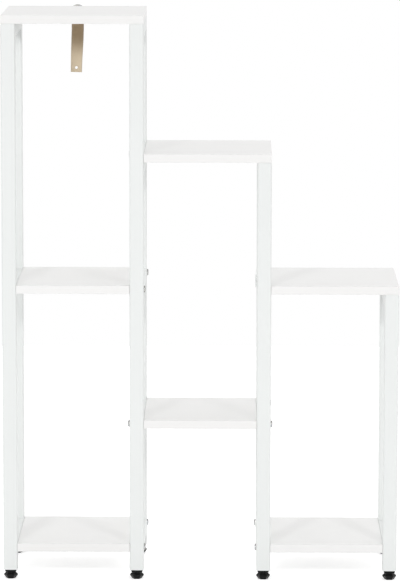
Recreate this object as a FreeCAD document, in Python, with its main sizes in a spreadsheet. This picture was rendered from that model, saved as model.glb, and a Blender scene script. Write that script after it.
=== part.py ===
import FreeCAD, Part
import math
import os
from types import SimpleNamespace

import Sketcher
from FreeCAD import Placement, Rotation, Vector

# Driving sizes in millimetres, one spreadsheet row each
sizes = {
    # side frames of square tube
    "bay_width": 200,
    "frame_depth": 240,
    "tube_side": 25,
    "tube_wall": 1.2,
    "tube_corner": 3,
    "rail_width": 25,
    "rail_height": 15,
    "rail_wall": 1.2,
    "rail_corner": 2.5,
    # heights of the board tops above the floor
    "top_level": 1005,
    "upper_level": 762,
    "left_middle_level": 529,
    "middle_level": 529,
    "lower_level": 288,
    "bottom_level": 65,
    # boards
    "board_thickness": 15,
    "board_edge": 0.8,
    # bolts through the tubes into the boards, and their threaded inserts
    "bolt_radius": 3,
    "bolt_reach": 9,
    "bolt_head_radius": 6,
    "bolt_head_height": 3,
    "bolt_crown_radius": 4.6,
    "bolt_socket_radius": 2.3,
    "bolt_socket_depth": 1.8,
    "bolt_hole_gap": 0.2,
    "insert_radius": 4.5,
    "insert_length": 10,
    "insert_hole_room": 1,
    "rail_bolt_offset": 60,
    "end_bolt_offset": 40,
    # levelling feet
    "foot_height": 17,
    "foot_bottom_radius": 8.2,
    "foot_rim_radius": 12.5,
    "foot_neck_radius": 8.6,
    "foot_neck_height": 1.7,
    "foot_seat_gap": 0.3,
    "foot_socket_depth": 8,
    "stud_radius": 4,
    "stud_length": 36,
    "plug_collar_side": 20,
    "plug_collar_corner": 2.5,
    "plug_collar_height": 4,
    "plug_height": 20,
    "plug_gap": 0.1,
    # anti-tip strap behind the top board
    "strap_width": 22,
    "strap_thickness": 1.5,
    "strap_above": 7,
    "strap_screw_offset": 2.5,
    "strap_drop": 110,
    "strap_bow": 9,
    "strap_corner": 3,
    "strap_hole_radius": 2.5,
    "strap_hole_margin": 8,
    "strap_gap": 0.3,
    "screw_radius": 2.2,
    "screw_reach": 18,
    "screw_head_radius": 4.5,
    "screw_head_height": 2.5,
    "screw_crown_radius": 3.2,
    "recess_reach": 2.2,
    "recess_half_width": 0.5,
    "recess_depth": 1.2,
    "washer_radius": 13,
    "washer_thickness": 1.2,
    # running fit of round pieces, and how far cuts run past the stock
    "fit_gap": 0.05,
    "overrun": 2,
}

# Side frames from left to right: place in pitches from the middle, and the levels of their top and rails
frames = {
    "left_frame": {
        "pitch_share": -1.5,
        "top": "top_level",
        "rails": {"middle": "left_middle_level", "bottom": "bottom_level"},
    },
    "inner_left_frame": {
        "pitch_share": -0.5,
        "top": "top_level",
        "rails": {
            "upper": "upper_level",
            "middle": "left_middle_level",
            "lower": "lower_level",
            "bottom": "bottom_level",
        },
    },
    "inner_right_frame": {
        "pitch_share": 0.5,
        "top": "upper_level",
        "rails": {"middle": "middle_level", "lower": "lower_level", "bottom": "bottom_level"},
    },
    "right_frame": {
        "pitch_share": 1.5,
        "top": "middle_level",
        "rails": {"bottom": "bottom_level"},
    },
}

# Boards: level, frame at each end, and whether that end lies on the frame, is bolted between its
# posts or is bolted to its cross rail
boards = {
    "left_top_board": ("top_level", ("left_frame", "on"), ("inner_left_frame", "on")),
    "left_middle_board": (
        "left_middle_level",
        ("left_frame", "railed"),
        ("inner_left_frame", "between"),
    ),
    "left_bottom_board": ("bottom_level", ("left_frame", "railed"), ("inner_left_frame", "between")),
    "middle_top_board": ("upper_level", ("inner_left_frame", "railed"), ("inner_right_frame", "on")),
    "middle_lower_board": (
        "lower_level",
        ("inner_left_frame", "between"),
        ("inner_right_frame", "between"),
    ),
    "right_top_board": ("middle_level", ("inner_right_frame", "railed"), ("right_frame", "on")),
    "right_bottom_board": ("bottom_level", ("inner_right_frame", "between"), ("right_frame", "railed")),
}

# Which way is front and back along Y
sides = {"front": -1, "back": 1}

# Threaded shanks and the holes that hide them are drawn with few sides, which keeps the model light
shank_sides = 8
hexagon_sides = 6
hexagon_flat_share = math.cos(math.pi / hexagon_sides)


class Size:
    # A length that keeps its number and its spreadsheet expression together
    def __init__(self, number, text):
        self.number = number
        self.text = text

    def __add__(self, other):
        return Size(self.number + other.number, f"({self.text} + {other.text})")

    def __sub__(self, other):
        return Size(self.number - other.number, f"({self.text} - {other.text})")

    def __mul__(self, share):
        if isinstance(share, Size):
            return Size(self.number * share.number, f"({self.text} * {share.text})")
        return Size(self.number * share, f"({self.text} * ({share:.9f}))")

    def __truediv__(self, other):
        if isinstance(other, Size):
            return Size(self.number / other.number, f"({self.text} / {other.text})")
        return Size(self.number / other, f"({self.text} / {other})")

    def __neg__(self):
        return Size(-self.number, f"(-{self.text})")


doc = FreeCAD.newDocument("PlantStand")
sheet = doc.addObject("Spreadsheet::Sheet", "Sizes")
for row, (alias, number) in enumerate(sizes.items(), start=1):
    sheet.set(f"A{row}", alias)
    sheet.set(f"B{row}", str(number))
    sheet.setAlias(f"B{row}", alias)
doc.recompute()

dim = SimpleNamespace(**{alias: Size(number, f"Sizes.{alias}") for alias, number in sizes.items()})
zero = Size(0, "0")
pitch = dim.bay_width + dim.tube_side
half_depth = dim.frame_depth / 2
half_tube = dim.tube_side / 2
post_offset = half_depth - half_tube
bolt_hole = dim.bolt_radius + dim.bolt_hole_gap
bolt_offsets = {"on": dim.rail_bolt_offset, "between": post_offset, "railed": dim.end_bolt_offset}
insert_hole = dim.insert_radius + dim.fit_gap
insert_hole_depth = dim.insert_length + dim.insert_hole_room
nodes = []


def level(name):
    return getattr(dim, name)


def frame_x(frame):
    return pitch * frames[frame]["pitch_share"]


def frame_top(frame):
    return level(frames[frame]["top"]) - dim.board_thickness


def board_middle(name):
    return level(name) - dim.board_thickness / 2


# Document helpers


def bind(thing, name, size):
    thing.setExpression(name, size.text)


def place(thing, x, y, z, rotation=None):
    thing.Placement = Placement(Vector(x.number, y.number, z.number), rotation or Rotation())
    for axis, size in zip("xyz", (x, y, z)):
        bind(thing, f"Placement.Base.{axis}", size)


def new_body(label):
    body = doc.addObject("PartDesign::Body", label)
    body.Label = label
    return body


def new_sketch(body, role, offset=None):
    sketch = body.newObject("Sketcher::SketchObject", f"{body.Name}_sketch")
    plane = next(item for item in body.Origin.OriginFeatures if item.Role == role)
    sketch.AttachmentSupport = [(plane, "")]
    sketch.MapMode = "FlatFace"
    if offset:
        sketch.AttachmentOffset = Placement(Vector(0, 0, offset.number), Rotation())
        bind(sketch, "AttachmentOffset.Base.z", offset)
    return sketch


def dimension(sketch, size, *constraint):
    index = sketch.addConstraint(Sketcher.Constraint(*constraint, size.number))
    sketch.renameConstraint(index, f"size{index}")
    bind(sketch, f"Constraints.size{index}", size)


def hold(sketch, geometry, point, x, y):
    # Fix one point of the sketch at its two sizes from the origin
    for kind, axis, distance in (("DistanceX", -2, x), ("DistanceY", -1, y)):
        if distance.number == 0:
            sketch.addConstraint(Sketcher.Constraint("PointOnObject", geometry, point, axis))
        elif distance.number > 0:
            dimension(sketch, distance, kind, -1, 1, geometry, point)
        else:
            dimension(sketch, -distance, kind, geometry, point, -1, 1)


def add_step(sketch, start, end, radius=None, turn=1):
    # One line, or one arc under a half circle, and the numbers of its first and last points
    if not radius:
        return sketch.addGeometry(Part.LineSegment(start, end)), 1, 2
    first, last = (start, end) if turn > 0 else (end, start)
    chord = last - first
    rise = math.sqrt(radius.number**2 - (chord.Length / 2) ** 2)
    inward = Vector(-chord.y, chord.x, 0).normalize()
    centre = (first + last) / 2 + inward * rise
    angles = [math.atan2(point.y - centre.y, point.x - centre.x) for point in (first, last)]
    if angles[1] < angles[0]:
        angles[1] += 2 * math.pi
    circle = Part.Circle(centre, Vector(0, 0, 1), radius.number)
    geometry = sketch.addGeometry(Part.ArcOfCircle(circle, *angles))
    dimension(sketch, radius, "Radius", geometry)
    return (geometry, 1, 2) if turn > 0 else (geometry, 2, 1)


def outline(sketch, points):
    # Closed loop: each point is (x, y), or (x, y, radius, turn) where an arc follows
    spots = [Vector(point[0].number, point[1].number, 0) for point in points]
    steps = []
    for index, point in enumerate(points):
        steps.append(add_step(sketch, spots[index], spots[(index + 1) % len(spots)], *point[2:]))
    for index, (geometry, first, last) in enumerate(steps):
        following = steps[(index + 1) % len(steps)]
        sketch.addConstraint(Sketcher.Constraint("Coincident", geometry, last, following[0], following[1]))
        hold(sketch, geometry, first, *points[index][:2])


def circle(sketch, x, y, radius):
    spot = Vector(x.number, y.number, 0)
    geometry = sketch.addGeometry(Part.Circle(spot, Vector(0, 0, 1), radius.number))
    hold(sketch, geometry, 3, x, y)
    dimension(sketch, radius, "Radius", geometry)


def square(sketch, side):
    half = side / 2
    outline(sketch, [(-half, -half), (half, -half), (half, half), (-half, half)])


def rounded_square(sketch, side, corner):
    half = side / 2
    inner = half - corner
    outline(
        sketch,
        [
            (-inner, -half),
            (inner, -half, corner, 1),
            (half, -inner),
            (half, inner, corner, 1),
            (inner, half),
            (-inner, half, corner, 1),
            (-half, inner),
            (-half, -inner, corner, 1),
        ],
    )


def trimmed_box(sketch, width, height, corner):
    half_width = width / 2
    half_height = height / 2
    quarter = [(half_width, half_height - corner), (half_width - corner, half_height)]
    upper = quarter + [(-x, y) for x, y in reversed(quarter)]
    outline(sketch, upper + [(x, -y) for x, y in reversed(upper)])


def polygon(sketch, x, y, radius, count):
    # Regular polygon with its first corner level with its centre, on a construction circle
    centre = Vector(x.number, y.number, 0)
    ring = sketch.addGeometry(Part.Circle(centre, Vector(0, 0, 1), radius.number), True)
    hold(sketch, ring, 3, x, y)
    dimension(sketch, radius, "Radius", ring)
    turns = [2 * math.pi * corner / count for corner in range(count)]
    spots = [centre + Vector(math.cos(turn), math.sin(turn), 0) * radius.number for turn in turns]
    lines = [sketch.addGeometry(Part.LineSegment(spots[index - 1], spots[index])) for index in range(count)]
    for index, line in enumerate(lines):
        sketch.addConstraint(Sketcher.Constraint("Coincident", lines[index - 1], 2, line, 1))
        sketch.addConstraint(Sketcher.Constraint("PointOnObject", line, 2, ring))
        if index:
            sketch.addConstraint(Sketcher.Constraint("Equal", lines[0], line))
    sketch.addConstraint(Sketcher.Constraint("Horizontal", ring, 3, lines[0], 2))


def cross(sketch, reach, half):
    arms = [(reach, half), (half, half), (half, reach)]
    corners = arms + [(-x, y) for x, y in reversed(arms)]
    outline(sketch, corners + [(x, -y) for x, y in reversed(corners)])


def pad(body, sketch, length, symmetric=False, down=False):
    feature = body.newObject("PartDesign::Pad", f"{body.Name}_pad")
    feature.Profile = sketch
    bind(feature, "Length", length)
    feature.SideType = "Symmetric" if symmetric else "One side"
    feature.Reversed = down
    return feature


def pocket(body, sketch, depth=None, forward=False):
    # Without a depth the cut goes right through, both ways
    feature = body.newObject("PartDesign::Pocket", f"{body.Name}_pocket")
    feature.Profile = sketch
    if depth:
        bind(feature, "Length", depth)
        feature.Reversed = forward
    else:
        feature.Type = "ThroughAll"
        feature.SideType = "Symmetric"
    return feature


def revolve(body, points):
    # Turn an outline of (radius, height) points about the body's Z axis
    sketch = new_sketch(body, "XZ_Plane")
    outline(sketch, points)
    feature = body.newObject("PartDesign::Revolution", f"{body.Name}_turned")
    feature.Profile = sketch
    feature.ReferenceAxis = (sketch, ["V_Axis"])
    return feature


def edges_where(feature, wanted):
    return [f"Edge{number}" for number, edge in enumerate(feature.Shape.Edges, start=1) if wanted(edge)]


def group(label, master, places):
    # Copies of one piece, kept together as separate solids of one node
    copies = []
    for number, (x, y, z, rotation) in enumerate(places):
        copy = doc.addObject("App::Link", f"{label}_{number}")
        copy.LinkedObject = master
        place(copy, x, y, z, rotation)
        copies.append(copy)
    compound = doc.addObject("Part::Compound", label)
    compound.Label = label
    compound.Links = copies
    nodes.append(compound)


# Side frames


def frame_tube(body, plane, length, symmetric):
    sketch = new_sketch(body, plane)
    rounded_square(sketch, dim.tube_side, dim.tube_corner)
    square(sketch, dim.tube_side - dim.tube_wall * 2)
    pad(body, sketch, length, symmetric)


def mitre(body, low_y, high_y, high_z, below):
    # Cut along the 45 degree line from the outer top corner down to the inner corner
    sketch = new_sketch(body, "YZ_Plane")
    run = dim.overrun if high_y.number > low_y.number else -dim.overrun
    low_z = high_z - dim.tube_side
    outer = (low_y - run, high_z + dim.overrun)
    inner = (high_y + run, low_z - dim.overrun)
    waste = (outer[0], inner[1]) if below else (inner[0], outer[1])
    outline(sketch, [outer, inner, waste])
    pocket(body, sketch)


def bolt_levels(frame, kind):
    levels = []
    for height, *ends in boards.values():
        if (frame, kind) in ends and height not in levels:
            levels.append(height)
    return levels


def make_post(frame, side):
    body = new_body(f"{frame}_{side}_post")
    length = frame_top(frame) - dim.foot_height
    frame_tube(body, "XY_Plane", length, False)
    outward = half_tube * sides[side]
    mitre(body, outward, -outward, length, below=False)
    heights = bolt_levels(frame, "between")
    if heights:
        holes = new_sketch(body, "YZ_Plane")
        for height in heights:
            polygon(holes, zero, board_middle(height) - dim.foot_height, bolt_hole, shank_sides)
        pocket(body, holes)
    place(body, frame_x(frame), post_offset * sides[side], dim.foot_height)
    nodes.append(body)


def make_top_rail(frame):
    body = new_body(f"{frame}_top_rail")
    frame_tube(body, "XZ_Plane", dim.frame_depth, True)
    for way in sides.values():
        outer = half_depth * way
        mitre(body, outer, outer - dim.tube_side * way, half_tube, below=True)
    holes = new_sketch(body, "XY_Plane")
    for way in sides.values():
        polygon(holes, zero, dim.rail_bolt_offset * way, bolt_hole, shank_sides)
    pocket(body, holes)
    place(body, frame_x(frame), zero, frame_top(frame) - half_tube)
    nodes.append(body)


def make_shelf_rail(frame, name, height):
    body = new_body(f"{frame}_{name}_rail")
    sketch = new_sketch(body, "XZ_Plane")
    walls = dim.rail_wall * 2
    trimmed_box(sketch, dim.rail_width, dim.rail_height, dim.rail_corner)
    trimmed_box(sketch, dim.rail_width - walls, dim.rail_height - walls, dim.rail_corner - dim.rail_wall)
    pad(body, sketch, dim.frame_depth - dim.tube_side * 2, symmetric=True)
    if height in bolt_levels(frame, "railed"):
        holes = new_sketch(body, "YZ_Plane")
        for way in sides.values():
            polygon(holes, dim.end_bolt_offset * way, zero, bolt_hole, shank_sides)
        pocket(body, holes)
    place(body, frame_x(frame), zero, board_middle(height))
    nodes.append(body)


for frame, plan in frames.items():
    for side in sides:
        make_post(frame, side)
    make_top_rail(frame)
    for name, height in plan["rails"].items():
        make_shelf_rail(frame, name, height)


# Boards


def end_x(frame, kind, toward):
    # A board on a frame reaches its far face; any other board stops at the near face
    reach = half_tube * toward
    return frame_x(frame) + reach if kind == "on" else frame_x(frame) - reach


def lies_flat(edge):
    return edge.BoundBox.ZLength < edge.Length / 2


def make_board(label, height, left, right):
    body = new_body(label)
    start = end_x(*left, -1)
    length = end_x(*right, 1) - start
    sketch = new_sketch(body, "XY_Plane")
    outline(sketch, [(zero, -half_depth), (length, -half_depth), (length, half_depth), (zero, half_depth)])
    slab = pad(body, sketch, dim.board_thickness)
    doc.recompute()
    trimmed = body.newObject("PartDesign::Chamfer", f"{label}_chamfer")
    trimmed.Base = (slab, edges_where(slab, lies_flat))
    bind(trimmed, "Size", dim.board_edge)
    for (frame, kind), spot, inward in ((left, None, True), (right, length, False)):
        if kind == "on":
            holes = new_sketch(body, "XY_Plane")
            for way in sides.values():
                spread = bolt_offsets[kind] * way
                polygon(holes, frame_x(frame) - start, spread, insert_hole, shank_sides)
            pocket(body, holes, insert_hole_depth, True)
        else:
            holes = new_sketch(body, "YZ_Plane", spot)
            for way in sides.values():
                spread = bolt_offsets[kind] * way
                polygon(holes, spread, dim.board_thickness / 2, insert_hole, shank_sides)
            pocket(body, holes, insert_hole_depth, inward)
    place(body, start, zero, level(height) - dim.board_thickness)
    nodes.append(body)
    return body, length


for label, (height, left, right) in boards.items():
    body, length = make_board(label, height, left, right)
    if label == "left_top_board":
        # Pilot hole in the back edge for the strap's screw
        pilot = new_sketch(body, "XZ_Plane", -half_depth)
        pilot_height = dim.board_thickness / 2 - dim.strap_screw_offset
        polygon(pilot, length / 2, pilot_height, dim.screw_radius + dim.fit_gap, shank_sides)
        pocket(body, pilot, dim.screw_reach + dim.fit_gap, True)


# Bolts and inserts, each made pointing up its Z axis with the seat at zero


def turn_head(body, radius, crown, height):
    revolve(body, [(zero, -height), (crown, -height), (radius, zero), (zero, zero)])


def make_bolt():
    body = new_body("bolt")
    turn_head(body, dim.bolt_head_radius, dim.bolt_crown_radius, dim.bolt_head_height)
    shank = new_sketch(body, "XY_Plane")
    polygon(shank, zero, zero, dim.bolt_radius, shank_sides)
    pad(body, shank, dim.tube_side + dim.bolt_reach)
    socket = new_sketch(body, "XY_Plane", -dim.bolt_head_height)
    polygon(socket, zero, zero, dim.bolt_socket_radius, hexagon_sides)
    pocket(body, socket, dim.bolt_socket_depth, True)
    return body


def make_insert():
    body = new_body("insert")
    sketch = new_sketch(body, "XY_Plane")
    polygon(sketch, zero, zero, dim.insert_radius, shank_sides)
    polygon(sketch, zero, zero, dim.bolt_radius + dim.fit_gap, shank_sides)
    pad(body, sketch, dim.insert_length)
    return body


to_right = Rotation(Vector(0, 1, 0), 90)
to_left = Rotation(Vector(0, 1, 0), -90)
to_front = Rotation(Vector(1, 0, 0), 90)
upright = Rotation()
bolt_places = []
insert_places = []
for height, left, right in boards.values():
    for (frame, kind), toward, rotation in ((left, 1, to_right), (right, -1, to_left)):
        for way in sides.values():
            if kind == "on":
                spot = (frame_x(frame), bolt_offsets[kind] * way)
                bolt_places.append((*spot, frame_top(frame) - dim.tube_side, upright))
                insert_places.append((*spot, frame_top(frame), upright))
            else:
                spot = (bolt_offsets[kind] * way, board_middle(height), rotation)
                bolt_places.append((frame_x(frame) - half_tube * toward, *spot))
                insert_places.append((frame_x(frame) + half_tube * toward, *spot))
group("board_bolts", make_bolt(), bolt_places)
group("board_thread_inserts", make_insert(), insert_places)


# Levelling feet: a plug in each tube, and a threaded stud with a moulded hexagonal base


def make_plug():
    body = new_body("plug")
    collar = new_sketch(body, "XY_Plane")
    trimmed_box(collar, dim.plug_collar_side, dim.plug_collar_side, dim.plug_collar_corner)
    pad(body, collar, dim.plug_collar_height, down=True)
    stem = new_sketch(body, "XY_Plane")
    square(stem, dim.tube_side - dim.tube_wall * 2 - dim.plug_gap * 2)
    pad(body, stem, dim.plug_height)
    bore = new_sketch(body, "XY_Plane")
    polygon(bore, zero, zero, dim.stud_radius + dim.fit_gap, shank_sides)
    pocket(body, bore)
    return body


foot_top = dim.foot_height - dim.plug_collar_height - dim.foot_seat_gap
neck_low = foot_top - dim.foot_neck_height
# How far up the grip its slope from the floor ends
rim_low_share = 28 / 55
stud_foot = foot_top - dim.foot_socket_depth


def bevel(body, block, height, inward, along=None):
    # Slope the edges of the block at one height, at 45 degrees or by another distance along its sides
    feature = body.newObject("PartDesign::Chamfer", f"{body.Name}_bevel")
    feature.Base = (block, edges_where(block, lambda edge: lies_at(edge, height)))
    bind(feature, "Size", along or inward)
    if along:
        feature.ChamferType = "Two distances"
        bind(feature, "Size2", inward)
    doc.recompute()
    return feature


def lies_at(edge, height):
    box = edge.BoundBox
    return max(abs(box.ZMin - height.number), abs(box.ZMax - height.number)) < dim.fit_gap.number


def make_foot_base(label, x, y):
    # Moulded hexagonal grip, sloped in to the floor and up to a neck that takes the stud
    body = new_body(label)
    grip = new_sketch(body, "XY_Plane")
    polygon(grip, zero, zero, dim.foot_rim_radius, hexagon_sides)
    block = pad(body, grip, neck_low)
    doc.recompute()
    floor_inset = (dim.foot_rim_radius - dim.foot_bottom_radius) * hexagon_flat_share
    neck_inset = (dim.foot_rim_radius - dim.foot_neck_radius) * hexagon_flat_share
    block = bevel(body, block, zero, floor_inset, neck_low * rim_low_share)
    bevel(body, block, neck_low, neck_inset)
    neck = new_sketch(body, "XY_Plane", neck_low)
    polygon(neck, zero, zero, dim.foot_neck_radius, hexagon_sides)
    pad(body, neck, dim.foot_neck_height)
    socket = new_sketch(body, "XY_Plane", foot_top)
    polygon(socket, zero, zero, dim.stud_radius + dim.fit_gap, shank_sides)
    pocket(body, socket, dim.foot_socket_depth)
    place(body, x, y, zero)
    nodes.append(body)


def make_foot_stud(label, x, y):
    body = new_body(label)
    sketch = new_sketch(body, "XY_Plane")
    polygon(sketch, zero, zero, dim.stud_radius, shank_sides)
    pad(body, sketch, dim.stud_length)
    place(body, x, y, stud_foot)
    nodes.append(body)


plug_places = []
for frame in frames:
    for side, way in sides.items():
        foot = f"{frame.removesuffix('_frame')}_{side}_foot"
        make_foot_base(f"{foot}_base", frame_x(frame), post_offset * way)
        make_foot_stud(f"{foot}_stud", frame_x(frame), post_offset * way)
        plug_places.append((frame_x(frame), post_offset * way, dim.foot_height, upright))
group("foot_tube_plugs", make_plug(), plug_places)


# Anti-tip strap, clamped behind the top board by a screw and washer

strap_x = (frame_x("left_frame") + frame_x("inner_left_frame")) / 2
strap_z = board_middle("top_level") - dim.strap_screw_offset
washer_back = dim.strap_gap * 2 + dim.strap_thickness + dim.washer_thickness
clamped = dim.washer_radius + dim.strap_gap


def is_strap_corner(edge):
    # The short edges through the strap's thickness at its lower end
    box = edge.BoundBox
    return box.ZMax < -clamped.number and box.YLength > box.XLength + box.ZLength


def make_strap():
    body = new_body("anti_tip_strap")
    near = dim.strap_gap
    far = dim.strap_gap + dim.strap_thickness
    bend = -clamped
    end = -dim.strap_drop
    half_chord = (dim.strap_drop - clamped) / 2
    radius = (half_chord * half_chord + dim.strap_bow * dim.strap_bow) / (dim.strap_bow * 2)
    sketch = new_sketch(body, "YZ_Plane")
    outline(
        sketch,
        [
            (near, dim.strap_above),
            (near, bend, radius, -1),
            (near, end),
            (far, end, radius, 1),
            (far, bend),
            (far, dim.strap_above),
        ],
    )
    web = pad(body, sketch, dim.strap_width, symmetric=True)
    doc.recompute()
    rounded = body.newObject("PartDesign::Fillet", "strap_fillet")
    rounded.Base = (web, edges_where(web, is_strap_corner))
    bind(rounded, "Radius", dim.strap_corner)
    holes = new_sketch(body, "XZ_Plane")
    circle(holes, zero, zero, dim.screw_radius + dim.fit_gap)
    circle(holes, zero, end + dim.strap_hole_margin, dim.strap_hole_radius)
    pocket(body, holes)
    place(body, strap_x, half_depth, strap_z)
    nodes.append(body)


def make_strap_washer():
    body = new_body("strap_washer")
    sketch = new_sketch(body, "XY_Plane")
    circle(sketch, zero, zero, dim.washer_radius)
    circle(sketch, zero, zero, dim.screw_radius + dim.fit_gap)
    pad(body, sketch, dim.washer_thickness)
    place(body, strap_x, half_depth + washer_back, strap_z, to_front)
    nodes.append(body)


def make_strap_screw():
    body = new_body("strap_screw")
    turn_head(body, dim.screw_head_radius, dim.screw_crown_radius, dim.screw_head_height)
    neck = new_sketch(body, "XY_Plane")
    circle(neck, zero, zero, dim.screw_radius)
    pad(body, neck, washer_back)
    thread = new_sketch(body, "XY_Plane", washer_back)
    polygon(thread, zero, zero, dim.screw_radius, shank_sides)
    pad(body, thread, dim.screw_reach)
    recess = new_sketch(body, "XY_Plane", -dim.screw_head_height)
    cross(recess, dim.recess_reach, dim.recess_half_width)
    pocket(body, recess, dim.recess_depth, True)
    place(body, strap_x, half_depth + washer_back, strap_z, to_front)
    nodes.append(body)


make_strap()
make_strap_washer()
make_strap_screw()

doc.recompute()
faults = [item.Label for item in doc.Objects if "Invalid" in item.State or "Error" in item.State]
faults += [node.Label for node in nodes if node.Shape.isNull() or not node.Shape.isValid()]
if faults:
    raise RuntimeError(f"these objects did not build: {faults}")

os.makedirs("parts", exist_ok=True)
for node in nodes:
    node.Shape.exportStep(f"parts/{node.Label}.step")
print(f"{len(nodes)} sub-parts, {sum(len(node.Shape.Solids) for node in nodes)} solids")
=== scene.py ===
import math

import bmesh
import bpy
from mathutils import Matrix, Vector


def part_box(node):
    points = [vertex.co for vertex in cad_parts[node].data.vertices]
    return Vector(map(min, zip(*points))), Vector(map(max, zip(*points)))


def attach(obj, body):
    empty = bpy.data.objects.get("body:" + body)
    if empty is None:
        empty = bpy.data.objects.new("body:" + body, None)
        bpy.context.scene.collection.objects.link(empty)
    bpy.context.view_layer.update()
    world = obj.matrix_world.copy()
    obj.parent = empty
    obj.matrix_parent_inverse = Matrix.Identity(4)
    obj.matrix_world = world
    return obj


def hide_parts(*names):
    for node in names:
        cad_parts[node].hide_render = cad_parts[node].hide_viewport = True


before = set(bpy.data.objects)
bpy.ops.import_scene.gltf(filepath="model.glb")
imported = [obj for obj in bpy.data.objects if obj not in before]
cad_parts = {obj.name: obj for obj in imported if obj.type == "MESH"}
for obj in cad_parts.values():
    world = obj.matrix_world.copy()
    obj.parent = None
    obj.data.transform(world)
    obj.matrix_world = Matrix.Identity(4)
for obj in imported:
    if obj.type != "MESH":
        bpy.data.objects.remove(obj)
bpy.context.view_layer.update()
zAxis = Vector((0, 0, 1))
frameNames = ("left_frame", "inner_left_frame", "inner_right_frame", "right_frame")
sides = {"front": -1, "back": 1}
print("frame loaded:", len(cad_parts), "nodes")


# Camera at the photograph's viewing angle
camera = {
    "place": (0.0628, -6.5948, 1.4628),
    "pitch": 8.314,  # degrees below the horizon
    "turn": 0.562,  # degrees to the left
    "roll": 0.099,
    "lens": 228.2,
    "sensor": 36.0,
    "farthest": 100.0,
}


def makeCamera():
    data = bpy.data.cameras.new("photoCamera")
    data.lens = camera["lens"]
    data.sensor_width = camera["sensor"]
    data.clip_end = camera["farthest"]
    eye = bpy.data.objects.new("photoCamera", data)
    eye.location = camera["place"]
    turn = Matrix.Rotation(math.radians(camera["turn"]), 3, "Z")
    tip = Matrix.Rotation(math.radians(90 - camera["pitch"]), 3, "X")
    roll = Matrix.Rotation(math.radians(camera["roll"]), 3, "Z")
    eye.rotation_euler = (turn @ tip @ roll).to_euler()
    bpy.context.scene.collection.objects.link(eye)
    bpy.context.scene.camera = eye


makeCamera()
bpy.context.scene.view_settings.view_transform = "Standard"
print("camera set")


# Small helpers for node trees
socketKinds = {
    "value": "NodeSocketFloat", "count": "NodeSocketInt", "shape": "NodeSocketGeometry",
    "object": "NodeSocketObject", "finish": "NodeSocketMaterial",
}


def feed(tree, socket, value):
    # Links another node's output, or sets a plain value
    if isinstance(value, bpy.types.NodeSocket):
        tree.links.new(value, socket)
    else:
        socket.default_value = value


def addNode(tree, kind, inputs=None, **settings):
    node = tree.nodes.new(kind)
    for key, value in settings.items():
        setattr(node, key, value)
    for key, value in (inputs or {}).items():
        feed(tree, node.inputs[key], value)
    return node


def mathNode(tree, operation, *values, clamp=False):
    node = addNode(tree, "ShaderNodeMath", operation=operation, use_clamp=clamp)
    for socket, value in zip(node.inputs, values):
        feed(tree, socket, value)
    return node.outputs[0]


def remap(tree, value, low, high, newLow=0.0, newHigh=1.0, **settings):
    inputs = {"Value": value, "From Min": low, "From Max": high, "To Min": newLow, "To Max": newHigh}
    return addNode(tree, "ShaderNodeMapRange", inputs, **settings).outputs["Result"]


def noise(tree, place, scale, detail, distortion=0.0):
    inputs = {"Vector": place, "Scale": scale, "Detail": detail, "Distortion": distortion}
    return addNode(tree, "ShaderNodeTexNoise", inputs).outputs["Fac"]


def mixColour(tree, share, first, second):
    # A colour mix has its share in socket 0, its colours in 6 and 7 and its result in output 2
    node = addNode(tree, "ShaderNodeMix", {0: share}, data_type="RGBA")
    for index, colour in ((6, first), (7, second)):
        linked = isinstance(colour, bpy.types.NodeSocket)
        feed(tree, node.inputs[index], colour if linked else (*colour, 1))
    return node.outputs[2]


def bump(tree, height, distance):
    inputs = {"Height": height, "Distance": distance, "Strength": 1.0}
    return addNode(tree, "ShaderNodeBump", inputs).outputs["Normal"]


def addSockets(tree, ins, outs):
    for title, kind, *start in ins:
        socket = tree.interface.new_socket(title, in_out="INPUT", socket_type=socketKinds[kind])
        if start:
            socket.default_value = start[0]
    for title, kind in outs:
        tree.interface.new_socket(title, in_out="OUTPUT", socket_type=socketKinds[kind])
    source = tree.nodes.new("NodeGroupInput")
    target = tree.nodes.new("NodeGroupOutput")
    return source.outputs, target.inputs


def endTree(tree, shape, finish, target):
    # Ends a geometry tree in plain geometry that wears its finish
    whole = addNode(tree, "GeometryNodeRealizeInstances", {"Geometry": shape})
    dressed = {"Geometry": whole.outputs[0], "Material": finish}
    done = addNode(tree, "GeometryNodeSetMaterial", dressed)
    tree.links.new(done.outputs[0], target)


# Small helpers for meshes and finished pieces
def newPiece(name, data):
    piece = bpy.data.objects.new(name, data)
    bpy.context.scene.collection.objects.link(piece)
    return piece


def bakeModifier(piece, modifier):
    graph = bpy.context.evaluated_depsgraph_get()
    mesh = bpy.data.meshes.new_from_object(piece.evaluated_get(graph))
    piece.modifiers.remove(modifier)
    return mesh


def evenNormals(piece):
    # Flat faces keep their own direction, and the rounds between them take up the turn
    modifier = piece.modifiers.new("evenNormals", "WEIGHTED_NORMAL")
    modifier.keep_sharp = True
    piece.data = bakeModifier(piece, modifier)


def meshPiece(name, build, sharpAngle=35):
    shape = bmesh.new()
    build(shape)
    bmesh.ops.remove_doubles(shape, verts=shape.verts, dist=1e-6)
    bmesh.ops.recalc_face_normals(shape, faces=shape.faces)
    mesh = bpy.data.meshes.new(name)
    shape.to_mesh(mesh)
    shape.free()
    mesh.shade_smooth()
    mesh.set_sharp_from_angle(angle=math.radians(sharpAngle))
    return newPiece(name, mesh)


def bakeTree(name, carrier, tree, values):
    # Runs a geometry tree on its carrier and keeps the result as a plain mesh
    modifier = carrier.modifiers.new(tree.name, "NODES")
    modifier.node_group = tree
    for item in tree.interface.items_tree:
        if item.in_out == "INPUT" and item.name in values:
            modifier[item.identifier] = values[item.name]
    mesh = bakeModifier(carrier, modifier)
    mesh.name = name
    bpy.data.objects.remove(carrier)
    return newPiece(name, mesh)


def settle(piece, body, finishes, nodes=()):
    piece.data.materials.clear()
    for finish in finishes:
        piece.data.materials.append(finish)
    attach(piece, body)
    if nodes:
        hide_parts(*nodes)


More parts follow.
